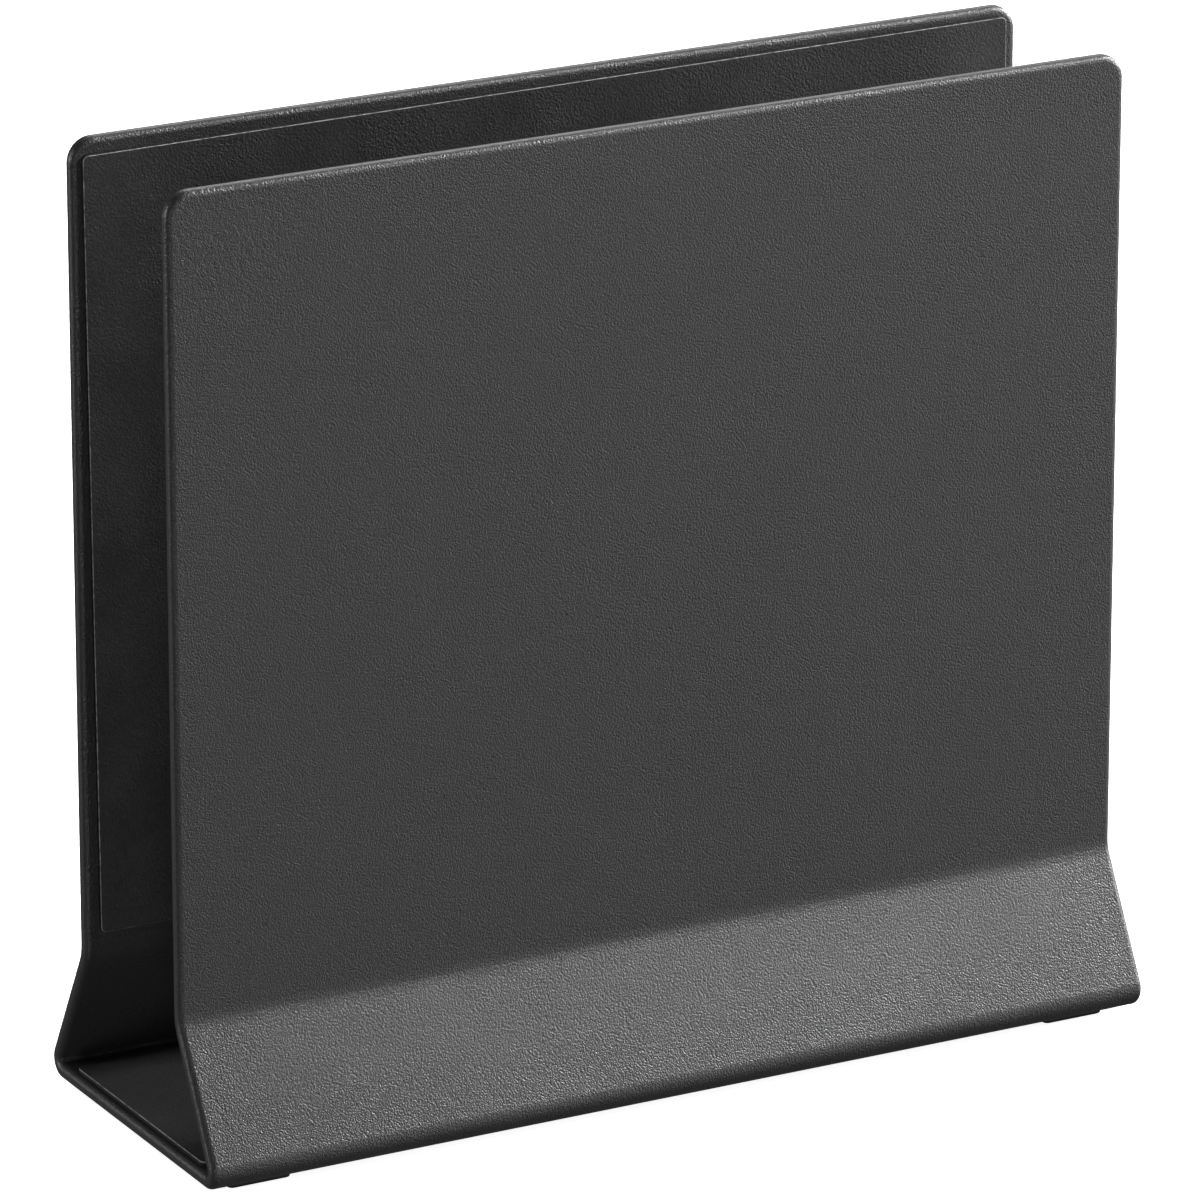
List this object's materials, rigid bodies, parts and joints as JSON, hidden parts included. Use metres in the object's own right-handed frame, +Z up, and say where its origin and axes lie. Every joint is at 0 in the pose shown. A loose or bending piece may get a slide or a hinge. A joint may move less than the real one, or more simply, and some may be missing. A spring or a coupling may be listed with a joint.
{
  "type": "napkin holder",
  "caption": "Open napkin holder folded from one powder-coated steel sheet, with flared foot, black liners inside and thin pads under the base.",
  "frame": {"origin": "centre of the footprint, on the table under the middle of the holder", "axes": "+Z up, X along the holder's width, Y from the front wall (-) to the rear wall (+)"},
  "size_m": [0.15, 0.052, 0.142],
  "materials": {
    "coat": "fine-textured charcoal black powder coat",
    "liner": "smooth matt black sheet, die cut",
    "film": "black pressure-sensitive adhesive film",
    "pad": "matt black anti-slip rubber"
  },
  "bodies": {
    "root": {"body_sheet": "coat", "rear_liner": "liner", "rear_liner_adhesive": "film", "front_liner": "liner", "front_liner_adhesive": "film", "base_liner": "liner", "base_liner_adhesive": "film", "foot_front_left": "pad", "foot_front_left_adhesive": "film", "foot_front_right": "pad", "foot_front_right_adhesive": "film", "foot_rear_left": "pad", "foot_rear_left_adhesive": "film", "foot_rear_right": "pad", "foot_rear_right_adhesive": "film"}
  },
  "joints": []
}
